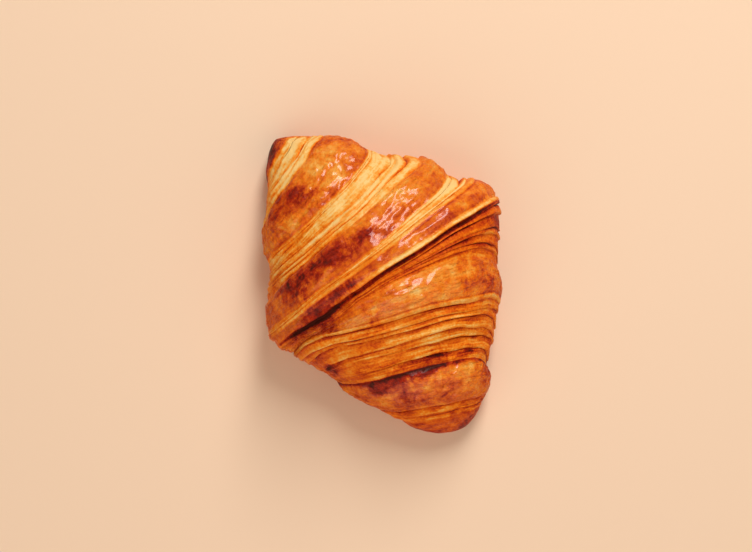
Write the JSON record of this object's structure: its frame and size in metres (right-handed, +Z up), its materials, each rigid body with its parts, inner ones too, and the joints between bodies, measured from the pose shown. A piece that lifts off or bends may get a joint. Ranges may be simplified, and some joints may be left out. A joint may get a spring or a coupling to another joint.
{
  "type": "croissant",
  "caption": "Baked butter croissant, rolled from one triangle of layered dough, lying on its flat underside with overlapping turns that narrow to two blunt tips.",
  "frame": {"origin": "on the flat underside, at the middle of the croissant's length and width", "axes": "+X from one tip to the other, +Y across towards the side that bulges away from the tips, +Z up"},
  "size_m": [0.14, 0.108, 0.058],
  "materials": {
    "crust": "satin"
  },
  "bodies": {
    "root": {"croissant": "crust"}
  },
  "joints": []
}
